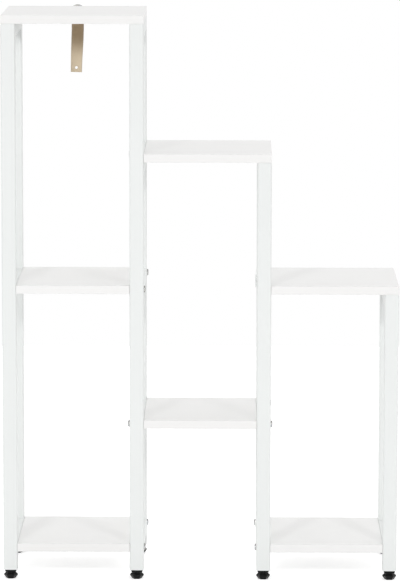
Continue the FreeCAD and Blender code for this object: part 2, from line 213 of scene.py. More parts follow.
def loft(shape, rings, closed=True):
    # Joins rings of equal length into a skin, with a face over each end
    rows = [[shape.verts.new(point) for point in ring] for ring in rings]
    for low, high in zip(rows, rows[1:]):
        for index in range(len(low)):
            after = (index + 1) % len(low)
            shape.faces.new((low[index], low[after], high[after], high[index]))
    if closed:
        shape.faces.new(rows[0])
        shape.faces.new(rows[-1])


def roundedBox(width, height, corner, steps):
    points = []
    for quarter, (x, y) in enumerate(((1, 1), (-1, 1), (-1, -1), (1, -1))):
        middle = (x * (width / 2 - corner), y * (height / 2 - corner))
        for step in range(steps + 1):
            angle = math.radians(90) * (quarter + step / steps)
            points.append((middle[0] + corner * math.cos(angle), middle[1] + corner * math.sin(angle)))
    return points


def ngon(radius, count):
    angles = [2 * math.pi * index / count for index in range(count)]
    return [(radius * math.cos(angle), radius * math.sin(angle)) for angle in angles]


def circleRing(radius, height, count):
    return [(x, y, height) for x, y in ngon(radius, count)]


def domeRings(head, radius, height):
    # Rim and dome of a round screw head, from its seat up
    rings = [circleRing(radius, 0, head["sides"]), circleRing(radius, head["rim"], head["sides"])]
    for step in range(1, head["domeSteps"] + 1):
        angle = math.radians(90) * step / head["domeSteps"]
        reach = radius - (radius - head["crown"]) * (1 - math.cos(angle))
        level = head["rim"] + (height - head["rim"]) * math.sin(angle)
        rings.append(circleRing(reach, level, head["sides"]))
    return rings


# Shader groups that several finishes share
peel = {"scale": 600.0, "fineRatio": 3.7, "fineShare": 0.35, "driftScale": 9.0, "driftEnds": (0.3, 0.7)}
handling = {
    "smudgeScale": 14.0, "smear": 1.2, "smudgeEnds": (0.5, 0.72),
    "speckScale": 260.0, "speckEnds": (0.04, 0.09),
}


def makePeelGroup():
    # Fine ripple of a sprayed or moulded skin, and a slow drift of its tone
    tree = bpy.data.node_groups.new("skinRipple", "ShaderNodeTree")
    ins = [("Scale", "value", peel["scale"]), ("Drift Scale", "value", peel["driftScale"])]
    source, target = addSockets(tree, ins, [("Height", "value"), ("Drift", "value")])
    place = addNode(tree, "ShaderNodeTexCoord").outputs["Object"]
    coarse = noise(tree, place, source["Scale"], detail=1.5)
    fineScale = mathNode(tree, "MULTIPLY", source["Scale"], peel["fineRatio"])
    fine = noise(tree, place, fineScale, detail=1.0)
    fineShare = mathNode(tree, "MULTIPLY", fine, peel["fineShare"])
    slow = noise(tree, place, source["Drift Scale"], detail=3.0)
    tree.links.new(mathNode(tree, "ADD", coarse, fineShare), target["Height"])
    tree.links.new(remap(tree, slow, *peel["driftEnds"]), target["Drift"])
    return tree


def makeHandlingGroup():
    # Faint wiped smudges and a scatter of small specks
    tree = bpy.data.node_groups.new("handlingMarks", "ShaderNodeTree")
    ins = [("Smudge Scale", "value", handling["smudgeScale"])]
    ins += [("Speck Scale", "value", handling["speckScale"])]
    source, target = addSockets(tree, ins, [("Smudge", "value"), ("Speck", "value")])
    place = addNode(tree, "ShaderNodeTexCoord").outputs["Object"]
    smudge = noise(tree, place, source["Smudge Scale"], detail=4.0, distortion=handling["smear"])
    cells = {"Vector": place, "Scale": source["Speck Scale"], "Randomness": 1.0}
    speck = addNode(tree, "ShaderNodeTexVoronoi", cells).outputs["Distance"]
    tree.links.new(remap(tree, smudge, *handling["smudgeEnds"]), target["Smudge"])
    tree.links.new(remap(tree, speck, *handling["speckEnds"], 1.0, 0.0), target["Speck"])
    return tree


skinRipple = makePeelGroup()
handlingMarks = makeHandlingGroup()


def useSkinGroups(tree, look):
    scales = {"Scale": look["rippleScale"], "Drift Scale": look["driftScale"]}
    ripple = addNode(tree, "ShaderNodeGroup", scales, node_tree=skinRipple)
    scales = {"Smudge Scale": look["smudgeScale"], "Speck Scale": look["speckScale"]}
    marks = addNode(tree, "ShaderNodeGroup", scales, node_tree=handlingMarks)
    return ripple.outputs, marks.outputs


def newFinish(name):
    finish = bpy.data.materials.new(name)
    finish.use_nodes = True
    tree = finish.node_tree
    return finish, tree, tree.nodes["Principled BSDF"].inputs


# White coat of the frames, faces and edges of the boards, and the black of the feet
def makeSkinFinish(name, look):
    # Pale or dark skin with a ripple, a slow drift of tone, smudges and specks
    finish, tree, surface = newFinish(name)
    ripple, marks = useSkinGroups(tree, look)
    colour = mixColour(tree, ripple["Drift"], look["colour"], look["driftColour"])
    speck = mathNode(tree, "MULTIPLY", marks["Speck"], look["speckShare"])
    feed(tree, surface["Base Color"], mixColour(tree, speck, colour, look["speckColour"]))
    feed(tree, surface["Roughness"], remap(tree, marks["Smudge"], 0.0, 1.0, *look["roughness"]))
    surface["Specular IOR Level"].default_value = look["specular"]
    feed(tree, surface["Normal"], bump(tree, ripple["Height"], look["rippleDepth"]))
    return finish


powderCoat = makeSkinFinish("powderCoat", {
    "colour": (0.815, 0.834, 0.824), "driftColour": (0.827, 0.845, 0.836),
    "speckColour": (0.70, 0.71, 0.70), "speckShare": 0.10, "specular": 0.5,
    "rippleScale": 520.0, "rippleDepth": 0.00006, "driftScale": 7.0,
    "smudgeScale": 11.0, "speckScale": 210.0, "roughness": (0.40, 0.50),
})
boardFace = makeSkinFinish("boardFace", {
    "colour": (0.868, 0.862, 0.852), "driftColour": (0.884, 0.880, 0.872),
    "speckColour": (0.74, 0.73, 0.71), "speckShare": 0.12, "specular": 0.5,
    "rippleScale": 1400.0, "rippleDepth": 0.00003, "driftScale": 5.0,
    "smudgeScale": 8.0, "speckScale": 180.0, "roughness": (0.34, 0.44),
})
edgeBand = makeSkinFinish("edgeBand", {
    "colour": (0.918, 0.918, 0.910), "driftColour": (0.926, 0.926, 0.920),
    "speckColour": (0.76, 0.75, 0.73), "speckShare": 0.08, "specular": 0.5,
    "rippleScale": 1800.0, "rippleDepth": 0.00002, "driftScale": 12.0,
    "smudgeScale": 16.0, "speckScale": 240.0, "roughness": (0.46, 0.54),
})
mouldedBlack = makeSkinFinish("mouldedBlack", {
    "colour": (0.004, 0.004, 0.0045), "driftColour": (0.006, 0.006, 0.0065),
    "speckColour": (0.03, 0.03, 0.03), "speckShare": 0.15, "specular": 0.14,
    "rippleScale": 2600.0, "rippleDepth": 0.00004, "driftScale": 60.0,
    "smudgeScale": 90.0, "speckScale": 900.0, "roughness": (0.34, 0.46),
})


# Zinc plate of the bolts, studs and inserts, and a brighter one for the strap's fasteners
zinc = {
    "rippleScale": 1500.0, "rippleDepth": 0.00002, "driftScale": 160.0,
    "smudgeScale": 220.0, "speckScale": 1200.0, "roughness": (0.26, 0.40),
}


def makeZinc(name, tones):
    # A faint blue and straw bloom
    finish, tree, surface = newFinish(name)
    ripple, marks = useSkinGroups(tree, zinc)
    colour = mixColour(tree, ripple["Drift"], tones["blue"], tones["straw"])
    feed(tree, surface["Base Color"], mixColour(tree, marks["Speck"], colour, tones["speck"]))
    surface["Metallic"].default_value = 1.0
    feed(tree, surface["Roughness"], remap(tree, marks["Smudge"], 0.0, 1.0, *zinc["roughness"]))
    feed(tree, surface["Normal"], bump(tree, ripple["Height"], zinc["rippleDepth"]))
    return finish


zincSteel = makeZinc("zincSteel", {
    "blue": (0.36, 0.37, 0.39), "straw": (0.43, 0.42, 0.39), "speck": (0.26, 0.26, 0.26),
})
brightZinc = makeZinc("brightZinc", {
    "blue": (0.44, 0.45, 0.47), "straw": (0.50, 0.49, 0.46), "speck": (0.34, 0.34, 0.34),
})
print("finishes made")


# Side frames: front post, top rail and back post of one tube, with mitred and ground corners
tube = {
    "corner": 0.003,
    "cornerSteps": 6,
    "wall": 0.0012,
    "openEnd": 0.006,  # depth of the bore, which the plug's stem fills
    "endRound": 0.0003,
}


def frameSpan(name):
    low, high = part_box(f"{name}_front_post")
    side = high.x - low.x
    return {
        "x": (low.x + high.x) / 2,
        "side": side,
        "front": low.y + side / 2,
        "back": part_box(f"{name}_back_post")[1].y - side / 2,
        "bottom": low.z,
        "top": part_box(f"{name}_top_rail")[1].z,
    }


spans = {name: frameSpan(name) for name in frameNames}


def postMiddle(span, way):
    return span["front"] if way < 0 else span["back"]


def tubeEnd(span, way, side, corner, height):
    profile = roundedBox(side, side, corner, tube["cornerSteps"])
    middle = postMiddle(span, way)
    return [(span["x"] + u, middle + v * way, height) for u, v in profile]


def mitreRing(span, way):
    profile = roundedBox(span["side"], span["side"], tube["corner"], tube["cornerSteps"])
    middle = postMiddle(span, way)
    centre = span["top"] - span["side"] / 2
    return [(span["x"] + u, middle + v * way, centre + v) for u, v in profile]


def endRings(span, way):
    # Open lower end, from inside the bore out to the skin
    bore = span["side"] - 2 * tube["wall"]
    boreCorner = tube["corner"] - tube["wall"]
    lip = tube["endRound"]
    low = span["bottom"]
    return [
        tubeEnd(span, way, bore, boreCorner, low + tube["openEnd"]),
        tubeEnd(span, way, bore, boreCorner, low + lip),
        tubeEnd(span, way, bore + lip, boreCorner + lip / 2, low),
        tubeEnd(span, way, span["side"] - lip, tube["corner"] - lip / 2, low),
        tubeEnd(span, way, span["side"], tube["corner"], low + lip),
    ]


def makeFrameTube(name):
    span = spans[name]

    def build(shape):
        rings = endRings(span, -1) + [mitreRing(span, -1), mitreRing(span, 1)]
        loft(shape, rings + list(reversed(endRings(span, 1))))

    piece = meshPiece(f"{name}_tube", build)
    evenNormals(piece)
    nodes = [f"{name}_front_post", f"{name}_back_post", f"{name}_top_rail"]
    settle(piece, "stand", [powderCoat], nodes)


for name in frameNames:
    makeFrameTube(name)
print("frame tubes made")


# Shelf rails inside the frames, and the weld beads round their ends
rail = {"corner": 0.0025, "cornerSteps": 5}
bead = {
    "radius": 0.0013, "sides": 8, "sink": 0.0006, "step": 0.0006,
    "ripplePitch": 0.0021, "rippleShare": 0.16,
}
railNames = [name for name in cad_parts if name.endswith("_rail") and "_top_" not in name]


def railRing(name, y, grow=0.0):
    low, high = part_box(name)
    middle = (low + high) / 2
    size = high - low
    corner = rail["corner"] + grow
    profile = roundedBox(size.x + 2 * grow, size.z + 2 * grow, corner, rail["cornerSteps"])
    return [(middle.x + u, y, middle.z + v) for u, v in profile]


def makeRail(name):
    low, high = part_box(name)
    rings = [railRing(name, low.y), railRing(name, high.y)]
    piece = meshPiece(f"{name}_tube", lambda shape: loft(shape, rings))
    evenNormals(piece)
    settle(piece, "stand", [powderCoat], [name])


def makeBeadTree():
    # A rippled bead along each curve
    tree = bpy.data.node_groups.new("weldBead", "GeometryNodeTree")
    ins = [("Path", "shape"), ("Radius", "value", 0.001), ("Ripple Pitch", "value", 0.002)]
    ins += [("Ripple Share", "value", 0.1), ("Step", "value", 0.001), ("Finish", "finish")]
    source, target = addSockets(tree, ins, [("Bead", "shape")])
    steps = {"Curve": source["Path"], "Length": source["Step"]}
    path = addNode(tree, "GeometryNodeResampleCurve", steps, mode="LENGTH")
    along = addNode(tree, "GeometryNodeSplineParameter").outputs["Length"]
    turns = mathNode(tree, "DIVIDE", along, source["Ripple Pitch"])
    wave = mathNode(tree, "SINE", mathNode(tree, "MULTIPLY", turns, 2 * math.pi))
    swell = mathNode(tree, "MULTIPLY_ADD", wave, source["Ripple Share"], 1.0)
    circle = {"Resolution": bead["sides"], "Radius": source["Radius"]}
    ring = addNode(tree, "GeometryNodeCurvePrimitiveCircle", circle)
    sweep = {"Curve": path.outputs[0], "Profile Curve": ring.outputs[0], "Scale": swell}
    skin = addNode(tree, "GeometryNodeCurveToMesh", sweep)
    smooth = addNode(tree, "GeometryNodeSetShadeSmooth", {"Geometry": skin.outputs[0]})
    endTree(tree, smooth.outputs[0], source["Finish"], target["Bead"])
    return tree


def makeWeldBeads():
    curve = bpy.data.curves.new("weldPaths", "CURVE")
    curve.dimensions = "3D"
    for name in railNames:
        low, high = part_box(name)
        for y, way in ((low.y, 1), (high.y, -1)):
            points = railRing(name, y + way * bead["sink"], -bead["sink"] / 2)
            spline = curve.splines.new("POLY")
            spline.points.add(len(points) - 1)
            for point, spot in zip(spline.points, points):
                point.co = (*spot, 1)
            spline.use_cyclic_u = True
    values = {
        "Radius": bead["radius"], "Step": bead["step"], "Finish": powderCoat,
        "Ripple Pitch": bead["ripplePitch"], "Ripple Share": bead["rippleShare"],
    }
    piece = bakeTree("weld_beads", newPiece("weldPaths", curve), makeBeadTree(), values)
    settle(piece, "stand", [powderCoat])


for name in railNames:
    makeRail(name)
makeWeldBeads()
print("rails and weld beads made:", len(railNames))


# Boards: faced particle board with an edge band all round
board = {"round": 0.0008, "roundSteps": 3, "band": 0.0010, "seamWidth": 0.00018, "seamDepth": 0.00012}
boardNames = [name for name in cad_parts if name.endswith("_board")]


def makeBoard(name):
    low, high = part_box(name)
    size = high - low
    seam = board["seamWidth"]
    deep = board["seamDepth"]
    insets = ((board["band"] - board["round"], 0), (seam, -deep), (seam, deep))

    def build(shape):
        place = Matrix.Translation((low + high) / 2) @ Matrix.Diagonal((*size, 1))
        bmesh.ops.create_cube(shape, size=1, matrix=place)
        rounding = {"offset": board["round"], "segments": board["roundSteps"], "profile": 0.5}
        bmesh.ops.bevel(shape, geom=shape.edges[:], affect="EDGES", **rounding)
        for face in shape.faces:
            face.material_index = 1
        wide = [face for face in shape.faces if face.calc_area() > size.x * size.y / 2]
        for face in wide:
            for thickness, depth in insets:
                bmesh.ops.inset_region(shape, faces=[face], thickness=thickness, depth=depth)
            face.material_index = 0

    piece = meshPiece(f"{name}_faced", build)
    evenNormals(piece)
    settle(piece, "stand", [boardFace, edgeBand], [name])


for name in boardNames:
    makeBoard(name)
print("boards made:", len(boardNames))


# Button-head bolts through the tubes into the boards
bolt = {
    "headRadius": 0.006, "headHeight": 0.003, "rim": 0.0006, "crown": 0.0044,
    "socketRadius": 0.0021, "socketDepth": 0.0018, "socketFlare": 0.0004,
    "shankRadius": 0.003, "shank": 0.004, "sides": 24, "domeSteps": 5,
    "offset": {"on": 0.060, "railed": 0.040}, "roll": 60.0, "rollSeed": 7,
}
boardEnds = {
    "left_top_board": (("left_frame", "on"), ("inner_left_frame", "on")),
    "left_middle_board": (("left_frame", "railed"), ("inner_left_frame", "between")),
    "left_bottom_board": (("left_frame", "railed"), ("inner_left_frame", "between")),
    "middle_top_board": (("inner_left_frame", "railed"), ("inner_right_frame", "on")),
    "middle_lower_board": (("inner_left_frame", "between"), ("inner_right_frame", "between")),
    "right_top_board": (("inner_right_frame", "railed"), ("right_frame", "on")),
    "right_bottom_board": (("inner_right_frame", "between"), ("right_frame", "railed")),
}


def hexagonRing(radius, height, count):
    # Points spread round a hexagon, so that it can meet a round ring
    points = []
    for x, y in ngon(1.0, count):
        angle = math.atan2(y, x) % math.radians(60) - math.radians(30)
        reach = radius * math.cos(math.radians(30)) / math.cos(angle)
        points.append((x * reach, y * reach, height))
    return points


def buildBolt(shape):
    # Head up the Z axis, seat at zero
    count = bolt["sides"]
    top = bolt["headHeight"]
    socket = bolt["socketRadius"]
    rings = [circleRing(bolt["shankRadius"], height, count) for height in (-bolt["shank"], 0)]
    rings += domeRings(bolt, bolt["headRadius"], top)
    rings.append(hexagonRing(socket + bolt["socketFlare"], top, count))
    rings.append(hexagonRing(socket, top - bolt["socketFlare"], count))
    rings.append(hexagonRing(socket, top - bolt["socketDepth"], count))
    loft(shape, rings)


def boltPlaces(wanted):
    # Seats and facings of the heads: below a top rail, or on the outer side of a rail or a post
    places = []
    for name, ends in boardEnds.items():
        low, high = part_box(name)
        height = (low.z + high.z) / 2
        for (frameName, kind), outward in zip(ends, (-1, 1)):
            if kind not in wanted:
                continue
            span = spans[frameName]
            for way in sides.values():
                y = way * bolt["offset"].get(kind, span["back"])
                if kind == "on":
                    places.append(((span["x"], y, span["top"] - span["side"]), (0, 0, -1)))
                else:
                    places.append(((span["x"] + outward * span["side"] / 2, y, height), (outward, 0, 0)))
    return places


def makeScatterTree():
    # Copies one piece onto every point, its Z axis along the point's facing, with a random roll
    tree = bpy.data.node_groups.new("fastenerScatter", "GeometryNodeTree")
    ins = [("Points", "shape"), ("Fastener", "object"), ("Roll", "value", 0.0), ("Seed", "count", 1)]
    ins += [("Finish", "finish")]
    source, target = addSockets(tree, ins, [("Fasteners", "shape")])
    facing = addNode(tree, "GeometryNodeInputNamedAttribute", {"Name": "facing"}, data_type="FLOAT_VECTOR")
    aim = addNode(tree, "FunctionNodeAlignRotationToVector", {"Vector": facing.outputs[0]}, axis="Z")
    draws = {"Max": source["Roll"], "Seed": source["Seed"]}
    spin = addNode(tree, "FunctionNodeRandomValue", draws, data_type="FLOAT")
    roll = addNode(tree, "FunctionNodeAxisAngleToRotation", {"Axis": zAxis, "Angle": spin.outputs["Value"]})
    turns = {"Rotation": aim.outputs[0], "Rotate By": roll.outputs[0]}
    turned = addNode(tree, "FunctionNodeRotateRotation", turns, rotation_space="LOCAL")
    model = addNode(tree, "GeometryNodeObjectInfo", {"Object": source["Fastener"]})
    copies = {"Points": source["Points"], "Instance": model.outputs["Geometry"]}
    placed = addNode(tree, "GeometryNodeInstanceOnPoints", {**copies, "Rotation": turned.outputs[0]})
    endTree(tree, placed.outputs[0], source["Finish"], target["Fasteners"])
    return tree


scatterTree = makeScatterTree()


def scatter(name, model, places, roll, finish):
    mesh = bpy.data.meshes.new(f"{name}Points")
    mesh.from_pydata([spot for spot, direction in places], [], [])
    facing = mesh.attributes.new("facing", "FLOAT_VECTOR", "POINT")
    for item, (spot, direction) in zip(facing.data, places):
        item.vector = direction
    values = {"Fastener": model, "Roll": roll, "Seed": bolt["rollSeed"], "Finish": finish}
    piece = bakeTree(name, newPiece(f"{name}Points", mesh), scatterTree, values)
    bpy.data.objects.remove(model)
    return piece


def makeBolts(name, wanted, finish, nodes=()):
    places = boltPlaces(wanted)
    model = meshPiece("boltModel", buildBolt, sharpAngle=40)
    piece = scatter(name, model, places, math.radians(bolt["roll"]), finish)
    settle(piece, "stand", [finish], nodes)
    print(name, "made:", len(places))


makeBolts("button_bolts", ("on", "between"), zincSteel, ["board_bolts"])
makeBolts("painted_bolts", ("railed",), powderCoat)
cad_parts["board_thread_inserts"].data.materials.clear()
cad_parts["board_thread_inserts"].data.materials.append(zincSteel)
print("inserts finished")


# Levelling feet: moulded hexagonal grip, threaded stud and tube plug
foot = {
    "sides": 6, "bottom": 0.0088, "rim": 0.0125, "neck": 0.0086,
    "rimLow": 0.0056, "rimHigh": 0.0076, "neckLow": 0.0110,
    "round": 0.0007, "roundSteps": 3, "pad": 0.0004,
}
stud = {"pitch": 0.00125, "depth": 0.0007, "sides": 24, "ringsPerTurn": 6}
plug = {
    "collar": 0.020, "corner": 0.0025, "round": 0.0004, "cornerSteps": 4,
    "height": spans["left_frame"]["bottom"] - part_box("foot_tube_plugs")[0].z,
    "stem": tube["openEnd"], "gap": 0.0001,
}
feet = [f"{name.removesuffix('_frame')}_{side}_foot" for name in frameNames for side in sides]


def makeFootBase(name):
    low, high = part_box(f"{name}_base")
    middle = (low + high) / 2

    def ring(radius, height):
        return [(middle.x + x, middle.y + y, low.z + height) for x, y in ngon(radius, foot["sides"])]

    def build(shape):
        rings = [ring(foot["bottom"] - foot["pad"], 0), ring(foot["bottom"], foot["pad"])]
        rings += [ring(foot["rim"], foot["rimLow"]), ring(foot["rim"], foot["rimHigh"])]
        rings += [ring(foot["neck"], foot["neckLow"]), ring(foot["neck"], high.z - low.z)]
        loft(shape, rings)
        floorLine = low.z + foot["pad"] / 2  # edges on the floor stay sharp
        wanted = [edge for edge in shape.edges if min(vert.co.z for vert in edge.verts) > floorLine]
        rounding = {"offset": foot["round"], "segments": foot["roundSteps"], "profile": 0.6}
        bmesh.ops.bevel(shape, geom=wanted, affect="EDGES", clamp_overlap=True, **rounding)

    piece = meshPiece(f"{name}_grip", build, sharpAngle=50)
    evenNormals(piece)
    settle(piece, name, [mouldedBlack], [f"{name}_base"])


def makeStudTree():
    # Rod whose skin follows one helix of a triangular thread
    tree = bpy.data.node_groups.new("threadedRod", "GeometryNodeTree")
    ins = [("Start", "shape"), ("Radius", "value", 0.004), ("Length", "value", 0.03)]
    ins += [("Pitch", "value", 0.001), ("Depth", "value", 0.0005)]
    ins += [("Sides", "count", 24), ("Rings", "count", 60), ("Finish", "finish")]
    source, target = addSockets(tree, ins, [("Rod", "shape")])
    shape = {"Vertices": source["Sides"], "Side Segments": source["Rings"], "Radius": source["Radius"]}
    rod = addNode(tree, "GeometryNodeMeshCylinder", {**shape, "Depth": source["Length"]}, fill_type="NGON")
    spot = addNode(tree, "GeometryNodeInputPosition").outputs[0]
    parts = addNode(tree, "ShaderNodeSeparateXYZ", {"Vector": spot}).outputs
    turn = mathNode(tree, "DIVIDE", mathNode(tree, "ARCTAN2", parts["Y"], parts["X"]), 2 * math.pi)
    climb = mathNode(tree, "DIVIDE", parts["Z"], source["Pitch"])
    # A triangle wave from zero to one and back, once for each turn of the thread
    wave = mathNode(tree, "PINGPONG", mathNode(tree, "ADD", climb, turn), 0.5)
    share = mathNode(tree, "MULTIPLY", wave, 2.0)
    cut = mathNode(tree, "MULTIPLY", share, mathNode(tree, "DIVIDE", source["Depth"], source["Radius"]))
    keep = mathNode(tree, "SUBTRACT", 1.0, cut)
    joined = {axis: mathNode(tree, "MULTIPLY", parts[axis], keep) for axis in ("X", "Y")}
    moved = addNode(tree, "ShaderNodeCombineXYZ", {**joined, "Z": parts["Z"]})
    placed = {"Geometry": rod.outputs["Mesh"], "Position": moved.outputs[0]}
    skin = addNode(tree, "GeometryNodeSetPosition", placed)
    endTree(tree, skin.outputs[0], source["Finish"], target["Rod"])
    return tree


studTree = makeStudTree()


def makeFootStud(name):
    low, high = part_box(f"{name}_stud")
    length = high.z - low.z
    values = {
        "Radius": (high.x - low.x) / 2, "Length": length, "Pitch": stud["pitch"], "Depth": stud["depth"],
        "Sides": stud["sides"], "Rings": round(length / stud["pitch"] * stud["ringsPerTurn"]),
        "Finish": zincSteel,
    }
    carrier = newPiece("studCarrier", bpy.data.meshes.new("studCarrier"))
    piece = bakeTree(f"{name}_thread", carrier, studTree, values)
    piece.data.transform(Matrix.Translation((low + high) / 2))
    settle(piece, name, [zincSteel], [f"{name}_stud"])


def buildPlug(shape):
    # Collar below zero, stem up into the tube
    low = -plug["height"]
    lip = plug["round"]

    def ring(side, corner, height):
        return [(x, y, height) for x, y in roundedBox(side, side, corner, plug["cornerSteps"])]

    stem = spans["left_frame"]["side"] - 2 * tube["wall"] - 2 * plug["gap"]
    stemCorner = tube["corner"] - tube["wall"]
    loft(shape, [
        ring(plug["collar"] - 2 * lip, plug["corner"] - lip, low),
        ring(plug["collar"], plug["corner"], low + lip),
        ring(plug["collar"], plug["corner"], 0),
        ring(stem, stemCorner, 0),
        ring(stem, stemCorner, plug["stem"]),
    ])


def makePlugs():
    model = meshPiece("plugModel", buildPlug)
    places = []
    for span in spans.values():
        places += [((span["x"], postMiddle(span, way), span["bottom"]), zAxis) for way in sides.values()]
    piece = scatter("foot_plugs", model, places, 0.0, mouldedBlack)
    settle(piece, "stand", [mouldedBlack], ["foot_tube_plugs"])


for name in feet:
    makeFootBase(name)
    makeFootStud(name)
makePlugs()
print("feet made:", len(feet))


# Anti-tip strap: woven webbing, clamped at the top, bowed and a little twisted at its free end
strap = {
    "flat": (0.022, 0.119), "thickness": 0.0015, "edgeShare": 0.82, "edgePower": 12,
    "clamped": 0.0133, "bow": 0.009, "drop": 0.110, "above": 0.007, "gap": 0.0003,
    "twist": 28.0, "twistLean": 0.4, "sway": -0.0030,
    "acrossSteps": 44, "alongSteps": 220, "ribPitch": 0.0016, "yarnPitch": 0.0011, "ribHeight": 0.00010,
    "holeRadius": 0.0025, "holeMargin": 0.008, "screwHole": 0.00225, "holeSides": 28, "punchReach": 0.02,
}
weaveLook = {
    "valley": (0.625, 0.51, 0.36), "crest": (0.755, 0.63, 0.46), "weaveHeight": 0.5,
    "fuzz": (0.76, 0.65, 0.50), "fuzzShare": 0.35, "fuzzScale": (2600.0, 5200.0, 1.0), "fuzzHeight": 0.8,
    # Painted shade: a darker tone over the strap's upper part, fading out down its length, adds to the real
    # shadow that the top board casts there
    "paintedShade": (0.390, 0.287, 0.180), "paintedShadeShares": (0.40, 0.85),  # fades between these shares of the length
    "edge": (0.42, 0.37, 0.31), "edgeShare": 0.30, "edgeEnds": (0.0078, 0.0100),  # from the middle line
    "depth": 0.00012, "roughness": 0.85, "specular": 0.2, "sheen": 0.05, "sheenRoughness": 0.5,
}


def strapSpot():
    # On the strap's middle line at the screw's height, at the back of the top board
    low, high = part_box("anti_tip_strap")
    return Vector(((low.x + high.x) / 2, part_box("left_top_board")[1].y, high.z - strap["above"]))


screwSpot = strapSpot()


def strapLine(along):
    # Point of the centre line, and the angle of its lean, at a share of the strap from its top
    depth = strap["above"] - along * (strap["above"] + strap["drop"])
    back = strap["gap"] + strap["thickness"] / 2
    middle = -(strap["clamped"] + strap["drop"]) / 2
    half = (strap["drop"] - strap["clamped"]) / 2
    radius = (half**2 + strap["bow"] ** 2) / (2 * strap["bow"])
    lean = 0.0
    if depth < -strap["clamped"]:
        offset = depth - middle
        back += math.sqrt(radius**2 - offset**2) - (radius - strap["bow"])
        lean = math.asin(offset / radius)
    return back, depth, lean


def strapPoint(across, along, face):
    back, depth, lean = strapLine(along)
    free = max(0.0, (-depth - strap["clamped"]) / (strap["drop"] - strap["clamped"]))
    ease = free * free * (3 - 2 * free)  # smooth at both ends
    width = across * strap["flat"][0] / 2
    rib = math.sin(2 * math.pi * along * strap["flat"][1] / strap["ribPitch"])
    yarn = math.cos(2 * math.pi * width / strap["yarnPitch"])
    full = math.sqrt(max(0.0, 1 - abs(across) ** strap["edgePower"]))
    edge = strap["edgeShare"] + (1 - strap["edgeShare"]) * full
    swell = strap["ribHeight"] * (0.5 + 0.5 * rib * yarn) * (free > 0)
    out = face * (strap["thickness"] / 2 * edge - strap["ribHeight"] + swell)
    turn = math.radians(strap["twist"]) * ease
    flatX = width * math.cos(turn) - out * math.sin(turn)
    flatY = width * math.sin(turn) + out * math.cos(turn)
    # The twisted end bends back, which keeps its near edge off the board when the strap swings
    clear = strap["flat"][0] / 2 * math.sin(turn) * free**3
    y = back + (flatY + clear) * math.cos(lean)
    z = depth + (out * math.cos(turn) + strap["twistLean"] * width * math.sin(turn)) * math.sin(lean)
    return screwSpot + Vector((flatX + strap["sway"] * ease, y, z))


def buildStrap(shape):
    columns = strap["acrossSteps"]
    rows = strap["alongSteps"]
    uv = shape.loops.layers.uv.new("webbing")
    grids = []
    for face in (-1, 1):
        grid = []
        for row in range(rows + 1):
            line = [strapPoint(2 * column / columns - 1, row / rows, face) for column in range(columns + 1)]
            grid.append([shape.verts.new(point) for point in line])
        grids.append(grid)

    def patch(corners, spots):
        face = shape.faces.new(corners)
        for loop, (column, row) in zip(face.loops, spots):
            loop[uv].uv = (column / columns * strap["flat"][0], row / rows * strap["flat"][1])

    for row in range(rows):
        for column in range(columns):
            spots = [(column, row), (column + 1, row), (column + 1, row + 1), (column, row + 1)]
            for grid in grids:
                patch([grid[r][c] for c, r in spots], spots)
    front, back = grids
    for row in range(rows):
        for column in (0, columns):
            patch([front[row][column], front[row + 1][column], back[row + 1][column], back[row][column]],
                  [(column, row), (column, row + 1), (column, row + 1), (column, row)])
    for column in range(columns):
        for row in (0, rows):
            patch([front[row][column], front[row][column + 1], back[row][column + 1], back[row][column]],
                  [(column, row), (column + 1, row), (column + 1, row), (column, row)])


def holeCutter(height, radius):
    # Round punch through the strap's centre line, at a height above or below the screw
    middle = strapPoint(0.0, (strap["above"] - height) / (strap["above"] + strap["drop"]), 0)
    reach = strap["punchReach"]

    def build(shape):
        points = ngon(radius, strap["holeSides"])
        loft(shape, [[middle + Vector((u, y, v)) for u, v in points] for y in (-reach, reach)])

    return meshPiece("holeCutter", build)


def cutHole(piece, cutter):
    modifier = piece.modifiers.new("hole", "BOOLEAN")
    modifier.object = cutter
    modifier.operation = "DIFFERENCE"
    modifier.solver = "EXACT"
    piece.data = bakeModifier(piece, modifier)
    bpy.data.objects.remove(cutter)


